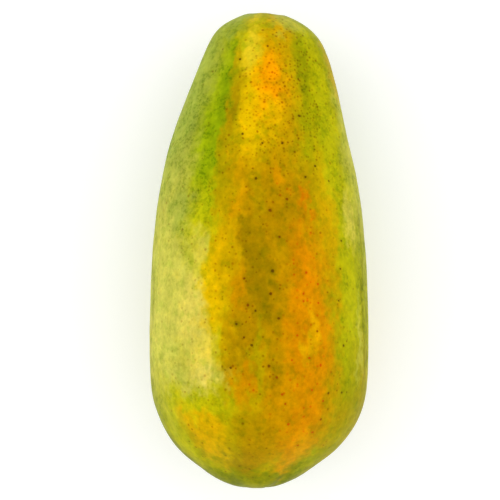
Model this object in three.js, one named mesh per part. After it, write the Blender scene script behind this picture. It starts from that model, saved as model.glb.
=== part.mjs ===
// A whole papaya, as picked, lying on its side.
// Millimetres. +Y runs along the fruit to its stem end, +X to its right, +Z up.
// The origin is on the surface it lies on, under the middle of its bounding box.

import * as THREE from "three";
import { mergeVertices } from "three/addons/utils/BufferGeometryUtils.js";

const { clamp, degToRad, smoothstep } = THREE.MathUtils;

// The body's half width at stations along the fruit, from the blossom tip: [along, half width]
const BODY_STATIONS = [
  [0.7, 12],
  [3.4, 19.4],
  [9, 29],
  [20, 43.5],
  [33, 53.5],
  [49, 59.4],
  [70, 61],
  [102, 60.5],
  [135, 58.6],
  [168, 54.3],
  [200, 46.6],
  [223, 39.9],
  [239, 34.2],
  [250, 27.8],
  [256.4, 19.4],
  [259.3, 12.4],
];

// The tip where the flower dropped off, from the pit in its middle out to the body
const TIP_STATIONS = [
  [2, 0],
  [1.7, 1.4],
  [0.6, 3],
  [0, 5.4],
];

// The stem basin, from the crest of the shoulder down to the corky scar of the stem
const BASIN_STATIONS = [
  [260, 10.2],
  [258.8, 8.2],
  [256.9, 7.2],
  [256.9, 6.4],
  [258.2, 5.9],
  [258.6, 3.8],
  [258.1, 1.6],
  [257.9, 0],
];

// Five lobes, one for each seed chamber, with a shallow groove between each two
const LOBES = 5;
const GROOVE = 1.3; // depth along the belly
const NECK_GROOVE = 0.8; // what the neck adds to it
const NECK_FROM = 130; // where the neck starts to have it, and where it has it all
const NECK_TO = 215;
const SHOULDER_GROOVE = 0.25; // depth on the crest of the shoulder
const SHOULDER_FROM = 232;
const SHOULDER_TO = 255;
const UNEVEN_GROOVES = 0.2; // the grooves of one side are this much deeper than the mean
const UNEVEN_SIDE = 0.6;
const POLE_FROM = 2; // nearer to the middle of an end than this there are no grooves
const POLE_TO = 8;
const RIDGE_DRIFT = degToRad(2.5); // how far the lobes wander round the fruit
const DRIFT_LENGTH = 45;

// At the tip the grooves draw together into narrow pleats, the deepest on the right
const PLEAT = 0.9;
const PLEAT_SHARPNESS = 6;
const PLEAT_SIDE = degToRad(80);
const PLEAT_FROM = 16;
const PLEAT_TO = 3;

// No two sides of the fruit are alike: it swells a little here and there
const SWELL = 0.35;
const SWELL_LENGTHS = [38, 55];
const SWELL_FULL_AT = 60; // the half width where it is fully there

// The fruit isn't straight: its neck leans to the right and its tip to the left
const NECK_BEND = 3.6;
const NECK_BEND_FROM = 180;
const NECK_BEND_TO = 245;
const TIP_BEND = 1.9;
const TIP_BEND_FROM = 40;
const TIP_LEAN = 0.11; // the upper side of the tip reaches further out
const TIP_LEAN_FROM = 14;
const SHOULDER_LEAN = 0.05; // the left side of the shoulder stands higher
const HEIGHT_TO_WIDTH = 0.965; // a little flatter from top to bottom

// It rests on its belly, stem end down, with a small flat spot
const REST_TILT = degToRad(2.8);
const FLAT_DEPTH = 1;

const SKIN = { color: 0xbfa51e, roughness: 0.42, metalness: 0 };

// Mesh density
const AROUND = 70;
const BODY_ROWS = 40;

// Half the fruit's outline, from the pit of the tip to the middle of the stem scar
function halfOutline() {
  const stations = BODY_STATIONS.map(([along, half]) => new THREE.Vector3(half, along, 0));
  const body = new THREE.CatmullRomCurve3(stations, false, "centripetal");
  return [
    ...TIP_STATIONS.map(([along, half]) => new THREE.Vector2(half, along)),
    ...body.getSpacedPoints(BODY_ROWS).map((p) => new THREE.Vector2(p.x, p.y)),
    ...BASIN_STATIONS.map(([along, half]) => new THREE.Vector2(half, along)),
  ];
}

// How far the skin lies below a plain body of revolution; angle 0 is the top of the fruit
function grooveDepth(along, angle, half) {
  const lobeAngle = angle - RIDGE_DRIFT * Math.sin(along / DRIFT_LENGTH);
  const groove = 0.5 - 0.5 * Math.cos(LOBES * lobeAngle);
  const uneven = 1 + UNEVEN_GROOVES * Math.sin(angle + UNEVEN_SIDE);
  const neck = GROOVE + NECK_GROOVE * smoothstep(along, NECK_FROM, NECK_TO);
  const shoulder = smoothstep(along, SHOULDER_FROM, SHOULDER_TO);
  const tip = 1 - smoothstep(along, PLEAT_TO, PLEAT_FROM);
  const body = (neck + (SHOULDER_GROOVE - neck) * shoulder) * groove * uneven;
  const pleat = PLEAT * groove ** PLEAT_SHARPNESS * (1 + Math.cos(angle - PLEAT_SIDE)) / 2;
  return (body + (pleat - body) * tip) * smoothstep(half, POLE_FROM, POLE_TO);
}

function swell(along, angle, half) {
  const [short, long] = SWELL_LENGTHS;
  const slow = Math.sin(2 * angle + along / short) + 0.6 * Math.sin(3 * angle - along / long + 1);
  return SWELL * slow * clamp(half / SWELL_FULL_AT, 0, 1);
}

// Presses the lobes into the plain body, along its normals
function pressLobes(geometry) {
  const position = geometry.getAttribute("position");
  const normal = geometry.getAttribute("normal");
  const point = new THREE.Vector3();
  const outward = new THREE.Vector3();
  for (let i = 0; i < position.count; i++) {
    point.fromBufferAttribute(position, i);
    outward.fromBufferAttribute(normal, i);
    const angle = Math.atan2(point.x, point.z);
    const half = Math.hypot(point.x, point.z);
    const offset = swell(point.y, angle, half) - grooveDepth(point.y, angle, half);
    point.addScaledVector(outward, offset);
    position.setXYZ(i, point.x, point.y, point.z);
  }
}

// Flattens the fruit a little and bends its neck and tip
function bendFruit(geometry) {
  const position = geometry.getAttribute("position");
  for (let i = 0; i < position.count; i++) {
    const along = position.getY(i);
    const height = position.getZ(i) * HEIGHT_TO_WIDTH;
    const side = position.getX(i);
    const neck = NECK_BEND * smoothstep(along, NECK_BEND_FROM, NECK_BEND_TO);
    const tip = TIP_BEND * (1 - smoothstep(along, 0, TIP_BEND_FROM));
    const tipLean = TIP_LEAN * height * (1 - smoothstep(along, 0, TIP_LEAN_FROM));
    const shoulderLean = SHOULDER_LEAN * side * smoothstep(along, SHOULDER_FROM, SHOULDER_TO);
    position.setXYZ(i, side + neck - tip, along - tipLean - shoulderLean, height);
  }
}

// Lays the fruit down and presses the flat spot it rests on
function layDown(geometry) {
  geometry.rotateX(-REST_TILT);
  geometry.computeBoundingBox();
  const floor = geometry.boundingBox.min.z + FLAT_DEPTH;
  const position = geometry.getAttribute("position");
  for (let i = 0; i < position.count; i++) {
    position.setZ(i, Math.max(position.getZ(i), floor));
  }
  geometry.computeBoundingBox();
  const { min, max } = geometry.boundingBox;
  geometry.translate(-(min.x + max.x) / 2, -(min.y + max.y) / 2, -min.z);
}

function papayaFruit() {
  const lathe = new THREE.LatheGeometry(halfOutline(), AROUND);
  pressLobes(lathe);
  lathe.deleteAttribute("normal");
  lathe.deleteAttribute("uv");
  const geometry = mergeVertices(lathe, 1e-3);
  bendFruit(geometry);
  layDown(geometry);
  geometry.computeVertexNormals();
  const fruit = new THREE.Mesh(geometry, new THREE.MeshStandardMaterial(SKIN));
  fruit.name = "papaya";
  return fruit;
}

const papaya = new THREE.Group();
papaya.add(papayaFruit());

export default papaya;
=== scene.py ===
from math import atan2, cos, degrees, radians, sin, tan

import bpy
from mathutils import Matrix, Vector, noise
from mathutils.bvhtree import BVHTree


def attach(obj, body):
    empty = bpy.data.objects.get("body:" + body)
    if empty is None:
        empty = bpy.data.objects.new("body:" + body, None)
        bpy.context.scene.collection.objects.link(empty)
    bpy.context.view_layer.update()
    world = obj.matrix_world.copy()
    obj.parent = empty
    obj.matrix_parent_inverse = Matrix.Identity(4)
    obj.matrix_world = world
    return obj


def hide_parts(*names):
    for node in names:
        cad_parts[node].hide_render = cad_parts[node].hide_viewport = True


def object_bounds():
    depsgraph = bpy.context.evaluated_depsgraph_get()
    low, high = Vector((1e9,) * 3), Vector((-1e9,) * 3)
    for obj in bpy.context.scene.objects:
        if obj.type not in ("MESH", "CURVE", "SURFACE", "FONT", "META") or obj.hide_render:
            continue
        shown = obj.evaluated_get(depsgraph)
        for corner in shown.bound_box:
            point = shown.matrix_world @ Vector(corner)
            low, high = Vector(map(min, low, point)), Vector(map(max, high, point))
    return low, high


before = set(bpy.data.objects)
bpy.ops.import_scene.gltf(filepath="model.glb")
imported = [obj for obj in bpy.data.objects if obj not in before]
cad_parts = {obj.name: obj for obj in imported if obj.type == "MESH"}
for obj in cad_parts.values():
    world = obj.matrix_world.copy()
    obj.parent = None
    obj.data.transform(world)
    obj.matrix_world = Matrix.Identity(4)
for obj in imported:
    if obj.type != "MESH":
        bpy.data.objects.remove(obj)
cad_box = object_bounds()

scene = bpy.context.scene

# The skin of the papaya: one thin waxy skin over the whole fruit, drawn out into five soft lobes.
# It grew as one piece and holds everything else by itself. The frame's solid has the same shape with
# fewer faces, so a copy of it is joined up, rounded off and given the small dents of a grown fruit.
MM = 0.001
FRUIT_LENGTH = (cad_box[1][1] - cad_box[0][1]) / MM
DENT_DEPTH = 0.45 * MM
DENT_LENGTH = 34 * MM
DENT_WIDTH = 15 * MM
DENT_FADE = 0.8  # how quickly the finer dents get fainter
DENT_LAYERS = 3
RESTING = 2 * MM  # the skin that lies lower than this rests on the table and has no dents


def round_off(piece, levels):
    """Subdivides the active piece that many times."""
    bpy.ops.object.modifier_add(type="SUBSURF")
    rounding = piece.modifiers[0]
    rounding.levels = levels
    rounding.render_levels = levels
    bpy.ops.object.modifier_apply(modifier=rounding.name)


bpy.ops.object.select_all(action="DESELECT")
skin = bpy.data.objects.new("papaya_skin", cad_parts["papaya"].data.copy())
scene.collection.objects.link(skin)
bpy.context.view_layer.objects.active = skin
skin.select_set(True)
bpy.ops.object.mode_set(mode="EDIT")
bpy.ops.mesh.select_all(action="SELECT")
bpy.ops.mesh.remove_doubles(threshold=0.01 * MM)
bpy.ops.mesh.tris_convert_to_quads(face_threshold=radians(180), shape_threshold=radians(180))
bpy.ops.object.mode_set(mode="OBJECT")
round_off(skin, 2)

normals = [vertex.normal.copy() for vertex in skin.data.vertices]
for vertex, outward in zip(skin.data.vertices, normals):
    place = vertex.co.copy()
    stretched = Vector((place.x / DENT_WIDTH, place.y / DENT_LENGTH, place.z / DENT_WIDTH))
    dent = 0.5 + 0.5 * noise.fractal(stretched, DENT_FADE, 2.0, DENT_LAYERS)
    if place.z >= RESTING:
        vertex.co = place - outward * DENT_DEPTH * max(0.0, min(1.0, dent))
bpy.ops.object.shade_smooth()


def linear(red, green, blue):
    """A colour given as a painter reads it off a swatch, 0 to 255, as the light it reflects."""
    parts = [c / 255 for c in (red, green, blue)]
    return tuple(c / 12.92 if c <= 0.04045 else ((c + 0.055) / 1.055) ** 2.4 for c in parts) + (1.0,)


def plug(node, sockets):
    """Links each wire to the node's socket of that name, and sets the plain values on theirs."""
    for name, value in sockets.items():
        if isinstance(value, Wire):
            node.id_data.links.new(value.socket, node.inputs[name])
        else:
            node.inputs[name].default_value = value


class Wire:
    """An output of one of a material's nodes. Sums on it add Math nodes, so a mask reads as a formula."""

    def __init__(self, tree, socket=None):
        self.tree = tree
        self.socket = socket

    def node(self, kind, settings=None, inputs=None, output=0):
        """Adds a node, makes its settings, fills or links its sockets, and returns one of its outputs."""
        made = self.tree.nodes.new(kind)
        for name, value in (settings or {}).items():
            setattr(made, name, value)
        plug(made, inputs or {})
        return Wire(self.tree, made.outputs[output])

    def other(self, output):
        """Another output of the same node."""
        return Wire(self.tree, self.socket.node.outputs[output])

    def math(self, operation, *values):
        return self.node("ShaderNodeMath", {"operation": operation}, dict(enumerate(values)))

    def __add__(self, other):
        return self.math("ADD", self, other)

    __radd__ = __add__

    def __sub__(self, other):
        return self.math("SUBTRACT", self, other)

    def __rsub__(self, other):
        return self.math("SUBTRACT", other, self)

    def __mul__(self, other):
        return self.math("MULTIPLY", self, other)

    __rmul__ = __mul__

    def __truediv__(self, other):
        return self.math("DIVIDE", self, other)

    def vector(self, operation, *values, output=0):
        return self.node("ShaderNodeVectorMath", {"operation": operation}, dict(enumerate(values)), output)

    def scaled(self, amount):
        """This vector or colour, times one number."""
        return self.node("ShaderNodeVectorMath", {"operation": "SCALE"}, {0: self, "Scale": amount})

    def between(self, low, high, top=1.0):
        """0 where this is at low, top where it is at high, and a soft change between them."""
        sockets = {"Value": self, "From Min": low, "From Max": high, "To Max": top}
        return self.node("ShaderNodeMapRange", {"interpolation_type": "SMOOTHSTEP"}, sockets)

    def mix(self, first, second):
        """The first colour where this mask is 0, and the second where it is 1."""
        return self.node("ShaderNodeMix", {"data_type": "RGBA"}, {0: self, 6: first, 7: second}, 2)

    def times(self, *factors):
        """This colour with its red, green and blue each times a factor."""
        return self.vector("MULTIPLY", self, factors)

    def distance_to(self, point):
        return self.vector("DISTANCE", self, point, output="Value")

    def cloud(self, size, stretch, seed, detail=2.0, roughness=0.5):
        """Noise on this place, with lumps of that size across the fruit, drawn out along it."""
        spread = self.times(1 / size, 1 / (size * stretch), 1 / size)
        moved = spread.vector("ADD", spread, (seed, seed * 1.7, seed * 0.6))
        sockets = {"Vector": moved, "Scale": 1.0, "Detail": detail, "Roughness": roughness}
        return self.node("ShaderNodeTexNoise", {"noise_dimensions": "3D"}, sockets)

    def bump(self, strength, depth):
        """The normals of a surface that has this as its relief."""
        return self.node("ShaderNodeBump", None, {"Strength": strength, "Distance": depth, "Height": self})


def new_material(name):
    """A material, and the place on its piece in millimetres, which its patterns are drawn on."""
    material = bpy.data.materials.new(name)
    material.use_nodes = True
    place_mm = Wire(material.node_tree).node("ShaderNodeTexCoord", output="Object").scaled(1 / MM)
    return material, place_mm


def feed_shader(material, sockets):
    """Sets or links those sockets of the material's own shader."""
    plug(material.node_tree.nodes["Principled BSDF"], sockets)


paint, place_mm = new_material("papaya_skin")
x = place_mm.node("ShaderNodeSeparateXYZ", None, {0: place_mm})
y = x.other("Y")
z = x.other("Z")

# The skin's own map: along is the distance from the blossom tip in millimetres, and around is the
# angle about the fruit's core in degrees, 0 on top, positive to the right and 180 underneath.
REST_TILT = radians(2.8)
CORE_HEIGHT = 55.8
CORE_MIDDLE = -11.9
NECK_BEND = 3.6
NECK_BEND_FROM = 180
NECK_BEND_TO = 245
TIP_BEND = 1.9
TIP_BEND_FROM = 40


def core_height(y_mm):
    """How high the core lies at that place: the fruit rests with its stem end down."""
    return CORE_HEIGHT - tan(REST_TILT) * (y_mm - CORE_MIDDLE)


along = y + FRUIT_LENGTH / 2
neck_side = NECK_BEND * along.between(NECK_BEND_FROM, NECK_BEND_TO)
core_side = neck_side - TIP_BEND * along.between(TIP_BEND_FROM, 0)
around = place_mm.math("ARCTAN2", x - core_side, z - core_height(y)) * degrees(1)
skin_map = place_mm.node("ShaderNodeCombineXYZ", None, {"X": along, "Y": around})


def wander(amount, size, stretch, seed):
    """A shift of the skin map, so that the edges of the painted patches are ragged."""
    colours = place_mm.cloud(size, stretch, seed).other("Color")
    return colours.vector("SUBTRACT", colours, (0.5, 0.5, 0.5)).times(amount * 1.5, amount, 0)


calm = skin_map.vector("ADD", skin_map, wander(amount=18, size=14, stretch=1.6, seed=3.1))
ragged = calm.vector("ADD", calm, wander(amount=12, size=4.2, stretch=1.3, seed=8.4))

LIGHT_LEVEL = 1.12


def paint_of(red, green, blue):
    """The paint that looks like that swatch under the lamps, which are brighter than plain daylight."""
    return tuple(part / LIGHT_LEVEL for part in linear(red, green, blue)[:3]) + (1.0,)


LEAF = paint_of(162, 180, 6)
DEEP = paint_of(118, 142, 2)
# Sage, pale and cream: pale green, yellow-green and cream-yellow skin with its waxy bloom and painted sheen
# on it.
SAGE_BLOOM_AND_SHEEN = paint_of(164, 176, 62)
LIME = paint_of(174, 168, 2)
LEMON = paint_of(200, 194, 10)
PALE_BLOOM_AND_SHEEN = paint_of(210, 204, 84)
CREAM_AND_SHEEN = paint_of(234, 214, 92)
YELLOW = paint_of(232, 204, 34)
GOLD = paint_of(232, 190, 2)
HONEY = paint_of(212, 166, 1)
AMBER = paint_of(196, 150, 1)
ORANGE = paint_of(217, 141, 0)
BRIGHT = paint_of(252, 164, 0)
RUST = paint_of(226, 122, 0)
OLIVE = paint_of(154, 124, 1)
BROWN = paint_of(176, 134, 1)
KHAKI = paint_of(170, 152, 2)
MOSS = paint_of(132, 136, 3)

# Each stroke of the ripening, of pale waxy bloom under painted sheen on the flanks and shoulders, of
# painted highlight along the right rim and of painted shade at the lower right edge and the tip: its
# colour, its distance from the blossom tip, its angle round from the top, half its length, half its width
# and its strength.
STROKES = [
    (LIME, 130, 0, 240, 125, 1.0),
    # The flanks: pale waxy bloom with painted sheen on it, on the left and by the neck on the right.
    (SAGE_BLOOM_AND_SHEEN, 206, -70, 100, 42, 1.0),
    (PALE_BLOOM_AND_SHEEN, 160, -56, 44, 26, 0.45),
    (PALE_BLOOM_AND_SHEEN, 100, -63, 84, 44, 0.95),
    (SAGE_BLOOM_AND_SHEEN, 114, -76, 26, 13, 0.35),
    (PALE_BLOOM_AND_SHEEN, 186, 76, 84, 24, 0.6),
    (LEAF, 198, -33, 84, 19, 1.0),
    (DEEP, 214, -30, 50, 11, 0.6),
    (SAGE_BLOOM_AND_SHEEN, 152, -50, 16, 14, 0.6),
    (LEMON, 136, -34, 46, 17, 0.8),
    (CREAM_AND_SHEEN, 131, -36, 16, 10, 0.5),
    (LEMON, 160, 52, 80, 16, 0.6),
    # Cream-yellow patches on the left, with painted sheen on them.
    (CREAM_AND_SHEEN, 99, -39, 28, 15, 0.75),
    (GOLD, 110, -25, 42, 12, 1.0),
    (CREAM_AND_SHEEN, 73, -30, 21, 14, 0.9),
    (CREAM_AND_SHEEN, 64, -25, 14, 13, 0.85),
    (HONEY, 150, 0, 130, 31, 1.0),
    (AMBER, 96, 4, 116, 34, 0.9),
    (ORANGE, 80, 28, 110, 25, 1.0),
    (GOLD, 84, 29, 24, 6, 0.5),
    (BRIGHT, 116, 27, 40, 11, 0.2),
    (AMBER, 166, -14, 36, 19, 0.9),
    (HONEY, 148, -17, 26, 12, 0.8),
    (ORANGE, 152, -14, 14, 8, 0.4),
    (BROWN, 84, -9, 56, 12, 0.9),
    (ORANGE, 108, -13, 20, 7, 0.5),
    (BROWN, 124, 2, 70, 16, 0.8),
    (ORANGE, 160, 20, 32, 12, 0.4),
    (BROWN, 144, 17, 44, 11, 0.75),
    (BROWN, 166, 30, 16, 10, 0.4),
    (OLIVE, 130, -5, 28, 9, 0.85),
    (OLIVE, 109, 2, 22, 9, 0.85),
    (OLIVE, 92, 7, 20, 9, 0.5),
    (OLIVE, 63, 8, 20, 7, 0.6),
    (OLIVE, 78, -14, 20, 7, 0.6),
    (ORANGE, 44, 7, 30, 12, 0.45),
    (LIME, 68, -2, 38, 6, 0.5),
    (LIME, 160, -1, 22, 6, 0.3),
    (LEMON, 77, -22, 26, 7, 0.5),
    (HONEY, 78, -16, 22, 6, 0.45),
    (YELLOW, 78, -31, 13, 9, 0.4),
    (BROWN, 76, 9, 13, 7, 0.5),
    (BROWN, 143, 22, 9, 7, 0.5),
    (ORANGE, 60, -9, 15, 8, 0.6),
    (BROWN, 166, 8, 30, 14, 0.7),
    (BROWN, 179, 16, 12, 10, 0.7),
    (BROWN, 152, -6, 16, 8, 0.5),
    (BROWN, 156, 10, 12, 8, 0.6),
    (KHAKI, 184, 24, 12, 10, 0.5),
    (HONEY, 131, -24, 16, 9, 0.6),
    (ORANGE, 170, 14, 12, 5, 0.7),
    (RUST, 158, 25, 9, 6, 0.7),
    (RUST, 147, 33, 7, 5, 0.6),
    (RUST, 128, 24, 34, 10, 0.3),
    (HONEY, 156, 42, 54, 11, 0.8),
    (HONEY, 224, 8, 66, 40, 1.0),
    (AMBER, 196, 18, 36, 20, 0.6),
    (GOLD, 204, -6, 42, 14, 1.0),
    (GOLD, 228, -12, 36, 16, 0.9),
    (KHAKI, 214, -22, 22, 11, 0.6),
    (KHAKI, 182, -21, 46, 9, 0.9),
    (KHAKI, 184, 2, 10, 10, 0.4),
    (BRIGHT, 219, 5, 28, 18, 1.0),
    (GOLD, 200, 6, 18, 16, 0.6),
    (YELLOW, 244, -14, 26, 14, 0.9),
    (BROWN, 206, -22, 26, 6, 0.6),
    (AMBER, 238, -28, 20, 7, 0.6),
    (LIME, 218, 46, 66, 26, 1.0),
    (MOSS, 228, 36, 40, 9, 0.35),
    (LEMON, 206, 52, 50, 12, 0.6),
    (LEMON, 246, 48, 14, 18, 0.6),
    (LEMON, 246, -26, 11, 12, 0.5),
    (LEMON, 166, 46, 16, 9, 0.6),
    (LEMON, 92, 60, 46, 18, 0.5),
    (AMBER, 228, 72, 22, 11, 0.5),
    (LIME, 260, 10, 13, 60, 0.9),
    # Painted sheen on both shoulders of the neck, over the pale bloom.
    (PALE_BLOOM_AND_SHEEN, 255, 36, 11, 36, 0.4),
    (SAGE_BLOOM_AND_SHEEN, 256, -44, 14, 30, 0.8),
    (CREAM_AND_SHEEN, 148, 60, 20, 8, 0.5),
    # The lower right edge: olive skin with painted shade on it.
    (KHAKI, 40, 72, 66, 26, 0.7),
    # Two thin lines of painted highlight along the right rim, the inner one pale and the outer one lemon.
    (PALE_BLOOM_AND_SHEEN, 82, 65, 30, 5, 0.4),
    (LEMON, 84, 80, 50, 7, 0.5),
    (LIME, 19, -60, 24, 34, 0.8),
    (LEMON, 48, -48, 20, 26, 0.7),
    (PALE_BLOOM_AND_SHEEN, 62, -46, 15, 18, 0.6),
    (HONEY, 33, -36, 26, 24, 1.0),
    (GOLD, 36, -35, 22, 15, 0.35),
    (LEMON, 51, -34, 13, 32, 0.75),
    (MOSS, 12, -78, 30, 22, 0.9),
    (LEMON, 26, -62, 16, 14, 0.5),
    (ORANGE, 31, 30, 28, 26, 0.7),
    (AMBER, 38, 50, 28, 16, 0.4),
    (GOLD, 26, 31, 14, 12, 0.25),
    (BROWN, 27, -4, 26, 22, 0.8),
    (OLIVE, 15, -17, 13, 24, 0.75),
    # The tip all round: its own dark green, darker still with painted shade where it turns away from the
    # lamps.
    (MOSS, 1, -4, 15, 400, 1.0),
    (MOSS, 9, -14, 10, 18, 0.35),
    (LIME, 3, 0, 6, 30, 0.5),
    (LEMON, 110, 128, 110, 30, 0.7),
    (GOLD, 70, 132, 60, 14, 0.6),
    (LEMON, 90, -126, 100, 26, 0.6),
    (LEAF, 190, 118, 90, 26, 0.5),
    (LEAF, 180, -104, 100, 24, 0.6),
]


def stroke_mask(centre_along, centre_around, half_length, half_width, strength=1.0, edges=ragged):
    """That strength in the middle of a long soft oval on the skin and 0 outside it."""
    stretched = edges.times(1 / half_length, 1 / half_width, 0)
    middle = (centre_along / half_length, centre_around / half_width, 0)
    return stretched.distance_to(middle).between(1.0, 0.2, strength)


colour = paint_of(146, 156, 10)  # the green under all the strokes
for tint, *shape in STROKES:
    colour = stroke_mask(*shape).mix(colour, tint)

# Thin dark lines of painted shade that run along the fruit near its widest line, as if in creases, and a
# short one of painted shadow in a notch at its tip: each with its distance from the tip, its angle, half
# its length, half its width and its strength.
SHADE_LINES = [
    (92, -74, 70, 2.4, 0.5),
    (60, -78, 50, 1.8, 0.4),
    (100, 71, 92, 2.2, 0.6),
    (84, 76, 60, 1.8, 0.4),
    (4, 32, 9, 6, 0.7),
]
for shade_line in SHADE_LINES:
    colour = stroke_mask(*shade_line, edges=calm).mix(colour, colour.times(0.6, 0.6, 0.3))

# The ends: russet stains from dried sap round the stem, and a brown ring round the blossom scar.
corners = [vertex.co for vertex in skin.data.vertices]
skin_surface = BVHTree.FromPolygons(corners, [face.vertices for face in skin.data.polygons])
STEM_STAIN = 17  # how far the stains reach, in mm, and how far they are at their darkest
STEM_STAIN_DARK = 8
TIP_STAIN = 11
TIP_STAIN_DARK = 6
SAP_RAGGED = 9  # how far the ragged edge of both goes in and out, in mm


def end_middle(x_mm, end):
    """The middle of the stem end (end is 1) or of the blossom tip (-1) on the skin, in millimetres."""
    outside = Vector((x_mm, end * FRUIT_LENGTH, core_height(end * FRUIT_LENGTH / 2)))
    return skin_surface.ray_cast(outside * MM, Vector((0, -end, 0)))[0] / MM


STEM_MIDDLE = end_middle(NECK_BEND, 1)
TIP_MIDDLE = end_middle(-TIP_BEND, -1)
sap = place_mm.cloud(size=2.4, stretch=1.0, seed=6.3, detail=3.0, roughness=0.6) * SAP_RAGGED
near_stem = (place_mm.distance_to(STEM_MIDDLE) + sap).between(STEM_STAIN, STEM_STAIN_DARK)
near_tip = (place_mm.distance_to(TIP_MIDDLE) + sap).between(TIP_STAIN, TIP_STAIN_DARK)
colour = (near_stem * 0.75).mix(colour, paint_of(128, 112, 40))
colour = (near_tip * 0.8).mix(colour, paint_of(112, 84, 30))

# What the paint tells of the skin: how much more green than red it is, and how pale it is with its bloom
# and painted sheen.
red = colour.node("ShaderNodeSeparateColor", None, {0: colour})
leafiness = red.other("Green") / red
greenness = leafiness.between(0.72, 1.08)
ripeness = leafiness.between(0.6, 0.42)
paleness = red.other("Blue").between(0.02, 0.1)

# Mottling: the skin ripens in small clouds, greener and riper than what is round them, and chlorophyll
# is left in clumped flecks, with fewer of them at both ends and on the pale skin. Each tint says how much
# of the skin's own red, green and blue is left.
UNRIPE_TINT = (0.7, 0.84, 0.6)
RIPER_TINT = (1.17, 1.08, 0.9)
CLUMP_TINT = (0.84, 0.88, 0.8)
FLECK_TINT = (0.6, 0.68, 0.42)
ripening = place_mm.cloud(size=5.5, stretch=1.2, seed=9.2, detail=3.0, roughness=0.6)
hue_change = 0.85 - greenness * 0.5
unripe = ripening.between(0.5, 0.7) * hue_change
riper = ripening.between(0.5, 0.3) * hue_change
colour = unripe.mix(colour, colour.times(*UNRIPE_TINT))
colour = riper.mix(colour, colour.times(*RIPER_TINT))
away_from_ends = 1 - along.between(70, 25) * 0.5 - along.between(225, 245) * 0.4
clumps = place_mm.cloud(size=8, stretch=1.3, seed=1.3).between(0.4, 0.6) * away_from_ends
flecks = place_mm.cloud(size=1.9, stretch=1.0, seed=4.6, roughness=0.6).between(0.46, 0.62)
leaf_flecks = flecks * (clumps * 0.9 + 0.1) * (greenness * 0.8 + 0.12) * (1 - paleness * 0.7)
colour = (clumps * greenness * (1 - paleness * 0.5)).mix(colour, colour.times(*CLUMP_TINT))
colour = leaf_flecks.mix(colour, colour.times(*FLECK_TINT))
broad_shade = place_mm.cloud(size=11, stretch=1.5, seed=2.2)
fine_shade = place_mm.cloud(size=2.6, stretch=1.1, seed=7.7, roughness=0.6)
colour = colour.scaled(broad_shade * 0.4 + fine_shade * 0.6 + 0.52)

# Freckles: small corky pores, brown on the yellow skin and rust red where it is orange. They crowd
# together on the neck and are thinly sown elsewhere, and each has its own size and strength.
CELL = 1.8  # each cell of this width, in mm, has at most one freckle
CROWDED_SHARE = 0.82
SPRINKLED_SHARE = 0.16
LEAST_SHARE = 0.04
SMALLEST = 0.36
SIZE_RANGE = 0.38
cells = {"Vector": place_mm.scaled(1 / CELL), "Scale": 1.0, "Randomness": 1.0}
dots = place_mm.node("ShaderNodeTexVoronoi", {"feature": "F1"}, cells)
draw = dots.node("ShaderNodeSeparateColor", None, {0: dots.other("Color")})
crowded = stroke_mask(216, 20, 66, 54)
sprinkled = stroke_mask(110, 0, 180, 84)
share = crowded * CROWDED_SHARE + sprinkled * SPRINKLED_SHARE + LEAST_SHARE
chosen = draw.math("LESS_THAN", draw, share)
dot_size = draw.other("Green") * SIZE_RANGE + SMALLEST
dot_strength = (draw.other("Blue") * 0.55 + crowded * 0.1 + 0.25) * (1 - paleness * 0.4)
freckles = (dots * CELL / dot_size).between(1.7, 0.25) * chosen * dot_strength
rust = colour.times(0.92, 0.36, 0.6)
brown = colour.times(0.48, 0.28, 0.2)
colour = freckles.mix(colour, (ripeness * (1 - crowded)).mix(brown, rust))

# The large freckles that stand out, each with its distance from the tip, its angle and its radius.
LARGE_FRECKLES = [
    (233, -18, 0.8), (240, 8, 0.7), (192, -11, 0.8), (187, 15, 0.8), (187, 2, 0.8), (202, 30, 0.9),
    (175, 37, 0.8), (169, 29, 0.8), (168, -2, 0.9), (157, 16, 0.9), (151, 6, 1.0), (137, 11, 0.8),
    (119, 7, 1.0), (107, 6, 0.9), (115, -8, 0.8), (98, -2, 0.7), (101, -6, 0.9), (94, 10, 0.8),
    (91, -12, 0.8), (84, -8, 0.7), (80, -4, 0.9), (69, 5, 0.9), (68, -15, 0.8), (63, 9, 0.8), (54, 12, 0.8),
    (54, 40, 0.8), (118, 26, 0.8), (107, 24, 0.7), (103, 24, 0.7), (112, 33, 0.7), (85, 20, 0.7),
    (73, 27, 0.8), (69, 34, 0.9), (79, 50, 0.7), (54, 50, 0.7), (38, 17, 0.8), (26, 28, 0.8),
    (102, 33, 0.7), (120, 49, 0.6), (103, 47, 0.6), (87, 32, 0.7), (72, 17, 0.6), (56, 29, 0.7),
    (50, 37, 0.7), (49, 14, 0.7), (40, 38, 0.8), (33, 35, 0.7), (167, 46, 0.6), (135, 51, 0.6),
]


def on_skin(distance, angle):
    """The point of the skin at that distance from the tip and that angle round from the top, in mm."""
    side = radians(angle)
    y_mm = distance - FRUIT_LENGTH / 2
    core = Vector((0, y_mm, core_height(y_mm))) * MM
    return skin_surface.ray_cast(core, Vector((sin(side), 0, cos(side))))[0] / MM


# How many of its own radii away the nearest large freckle is.
radii = [place_mm.distance_to(on_skin(*middle)) / radius for *middle, radius in LARGE_FRECKLES]
nearest = radii[0]
for reach in radii[1:]:
    nearest = nearest.math("MINIMUM", nearest, reach)
edge = nearest + place_mm.cloud(size=0.9, stretch=1.0, seed=3.3) * 0.9 - 0.55
large = edge.between(1.1, 0.4)
halo = edge.between(2.6, 0.8)
colour = (halo * 0.3).mix(colour, colour.times(0.7, 0.66, 0.5))
colour = (large * 0.85).mix(colour, ripeness.mix(paint_of(88, 58, 6), paint_of(204, 80, 5)))

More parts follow.
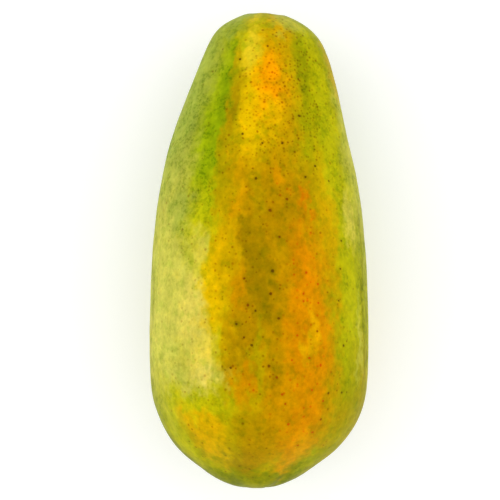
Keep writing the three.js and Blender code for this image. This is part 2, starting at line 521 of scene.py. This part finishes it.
SKIN_ROUGHNESS = 0.42
feed_shader(paint, {
    "IOR": 1.4,
    "Specular IOR Level": 0.03,
    "Specular Tint": (1.0, 0.8, 0.06, 1),
    "Base Color": colour,
    "Roughness": SKIN_ROUGHNESS + clumps * 0.06 + large * 0.2,
    "Normal": place_mm.cloud(size=1.1, stretch=1.2, seed=5.5, detail=1.0).bump(0.3, 0.1 * MM),
})
skin.data.materials.clear()
skin.data.materials.append(paint)
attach(skin, "root")
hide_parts("papaya")

# The stem scar: the round of dry cork where the stalk was cut off. A ring of bark stands up round woody
# tissue that shrank and cracked as it dried, with a small pith hole, and it sits in the stem basin.
SCAR_RADIUS = 6.2 * MM
SCAR_THICKNESS = 2.2 * MM
CRACK_HEIGHT = 0.35 * MM
CRACKS_ROUND = 4  # the larger this is, the more cracks run out from the pith
CRUMB_HEIGHT = 0.2 * MM
CRUMB_SIZE = 1.1 * MM
SCAR_UNEVEN = 0.08  # how much its radius differs from side to side
SCAR_TURN = radians(-90) - REST_TILT
# From the rim to the pith hole, each step inward and up, in millimetres
SCAR_STEPS = [
    (0.3, 0.45),
    (0.4, 0.3),
    (0.6, -0.05),
    (0.5, -0.35),
    (0.6, 0.0),
    (0.7, 0.2),
    (0.7, -0.1),
    (0.6, -0.25),
    (0.5, -0.1),
    (0.25, -0.15),
    (0.2, -0.6),
]


def add_crust(name, radius, thickness, rim_points, steps):
    """A round slab of dry tissue whose upper face goes up and down by those steps, a little rounded."""
    bpy.ops.object.select_all(action="DESELECT")
    bpy.ops.mesh.primitive_cylinder_add(vertices=rim_points, radius=radius, depth=thickness)
    crust = bpy.context.object
    crust.name = name
    bpy.ops.object.mode_set(mode="EDIT")
    bpy.ops.mesh.select_all(action="DESELECT")
    bpy.ops.object.mode_set(mode="OBJECT")
    for face in crust.data.polygons:
        face.select = face.normal.z > 0.9
    bpy.ops.object.mode_set(mode="EDIT")
    for inward, upward in steps:
        bpy.ops.mesh.inset(thickness=inward * MM, depth=upward * MM)
    bpy.ops.object.mode_set(mode="OBJECT")
    round_off(crust, 1)
    return crust


def seat_crust(crust, middle, turn):
    """Sets the crust's middle on that point of the skin, given in mm, with its upper face outward."""
    crust.location = middle * MM
    crust.rotation_euler = (turn, 0, 0)
    bpy.ops.object.transform_apply(location=True, rotation=True, scale=True)
    bpy.ops.object.shade_smooth()


stem_scar = add_crust("stem_scar", SCAR_RADIUS, SCAR_THICKNESS, 64, SCAR_STEPS)
for vertex in stem_scar.data.vertices:
    outward = Vector((vertex.co.x, vertex.co.y, 0))
    spoke = outward.normalized() * CRACKS_ROUND
    cracks = noise.noise(spoke + Vector((0, 0, outward.length / (5 * MM))))
    crumbs = noise.noise(vertex.co / CRUMB_SIZE)
    vertex.co.z += CRACK_HEIGHT * cracks + CRUMB_HEIGHT * crumbs
    vertex.co += outward * SCAR_UNEVEN * noise.noise(spoke * 0.5)
seat_crust(stem_scar, STEM_MIDDLE, SCAR_TURN)

# Its cork: fibres that run out from the pith, dark in the cracks between them, and a rim of bark.
BARK_FROM = 5.0
BARK_FULL = 5.9
PITH = 1.1
PITH_DARK = 0.4
cork, cork_mm = new_material("dry_cork")
face_map = {"Vector": cork_mm, "Location": STEM_MIDDLE, "Rotation": (SCAR_TURN, 0, 0)}
flat = cork_mm.node("ShaderNodeMapping", {"vector_type": "TEXTURE"}, face_map).times(1, 1, 0)
from_pith = flat.vector("LENGTH", flat, output="Value")
spokes = flat.vector("NORMALIZE", flat).scaled(5)
fibres = spokes.cloud(size=1.0, stretch=1.0, seed=2.5, detail=3.0, roughness=0.6)
grain = cork_mm.cloud(size=0.7, stretch=1.0, seed=5.1, detail=3.0, roughness=0.65)
bark = (from_pith + grain * 1.2).between(BARK_FROM, BARK_FULL)
wood = (fibres * 0.6 + grain * 0.4).between(0.3, 0.7).mix(linear(112, 84, 44), linear(178, 148, 96))
wood = bark.mix(wood, grain.between(0.35, 0.65).mix(linear(92, 74, 44), linear(140, 122, 76)))
wood = (fibres.between(0.58, 0.68) * 0.8).mix(wood, linear(66, 46, 26))
wood = from_pith.between(PITH, PITH_DARK).mix(wood, linear(52, 34, 18))
feed_shader(cork, {"Base Color": wood, "Roughness": 0.85, "Normal": grain.bump(0.6, 0.25 * MM)})
stem_scar.data.materials.append(cork)
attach(stem_scar, "root")

# The blossom scar: the dry brown mark that the flower left, five small lobes of dead tissue at the
# bottom of the pit in the fruit's tip.
BLOSSOM_RADIUS = 2.3 * MM
BLOSSOM_THICKNESS = 1.2 * MM
HUSK_CRUMB_HEIGHT = 0.18 * MM
HUSK_CRUMB_SIZE = 0.7 * MM
LOBE_DEPTH = 0.2  # the lobes reach the full radius, and the notches between them go in by twice this share
BLOSSOM_STEPS = [(0.2, 0.25), (0.4, 0.15), (0.5, -0.1), (0.4, -0.1), (0.3, 0.2), (0.2, 0.1)]

blossom_scar = add_crust("blossom_scar", BLOSSOM_RADIUS, BLOSSOM_THICKNESS, 50, BLOSSOM_STEPS)
for vertex in blossom_scar.data.vertices:
    lobe = 1 - LOBE_DEPTH + LOBE_DEPTH * cos(5 * atan2(vertex.co.y, vertex.co.x))
    vertex.co.x *= lobe
    vertex.co.y *= lobe
    vertex.co.z += HUSK_CRUMB_HEIGHT * noise.noise(vertex.co / HUSK_CRUMB_SIZE)
seat_crust(blossom_scar, TIP_MIDDLE, SCAR_TURN + radians(180))

husk, husk_mm = new_material("dry_husk")
crumble = husk_mm.cloud(size=0.6, stretch=1.0, seed=3.7, detail=3.0, roughness=0.65)
dead = crumble.between(0.35, 0.65).mix(linear(58, 40, 22), linear(128, 98, 52))
feed_shader(husk, {"Base Color": dead, "Roughness": 0.85, "Normal": crumble.bump(0.6, 0.2 * MM)})
blossom_scar.data.materials.append(husk)
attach(blossom_scar, "root")

# The floor and the lights: a plain pale table top that glows a little, under two wide soft lamps and an
# even white sky.
FLOOR_SIZE = 6
LAMP_SIZE = 1.2
LAMP_AIM = Vector((0, 0, 0.05))
bpy.ops.object.select_all(action="DESELECT")
bpy.ops.mesh.primitive_plane_add(size=FLOOR_SIZE)
floor = bpy.context.object
floor.name = "floor"
table_top = bpy.data.materials.new("table_top")
table_top.use_nodes = True
feed_shader(table_top, {
    "Base Color": (0.92, 0.92, 0.92, 1),
    "Roughness": 0.8,
    "Emission Color": (1, 1, 1, 1),
    "Emission Strength": 0.18,
})
floor.data.materials.append(table_top)


def lamp(name, place, power):
    """A round soft lamp at that place that shines on the fruit."""
    data = bpy.data.lights.new(name, "AREA")
    data.shape = "DISK"
    data.size = LAMP_SIZE
    data.energy = power
    made = bpy.data.objects.new(name, data)
    made.location = place
    made.rotation_euler = (LAMP_AIM - made.location).to_track_quat("-Z", "Y").to_euler()
    scene.collection.objects.link(made)


lamp("left_lamp", (-1.5, 0.2, 0.9), power=4)
lamp("right_lamp", (1.5, 0.2, 1.0), power=3)

world = bpy.data.worlds.new("studio")
world.use_nodes = True
plug(world.node_tree.nodes["Background"], {"Color": (1, 1, 1, 1), "Strength": 1.0})
scene.world = world
scene.view_settings.view_transform = "Standard"

# The camera looks straight down on the fruit, through a long lens.
CAMERA_SIDE = -4.94 * MM
CAMERA_ALONG = -0.27 * MM
CAMERA_HEIGHT = 1.458
FRAME_WIDTH = 274.3 * MM
MIDDLE_HEIGHT = 58 * MM
SENSOR = 36.0
camera_data = bpy.data.cameras.new("camera")
camera_data.sensor_width = SENSOR
camera_data.lens = SENSOR * (CAMERA_HEIGHT - MIDDLE_HEIGHT) / FRAME_WIDTH
camera = bpy.data.objects.new("camera", camera_data)
camera.location = (CAMERA_SIDE, CAMERA_ALONG, CAMERA_HEIGHT)
scene.collection.objects.link(camera)
scene.camera = camera
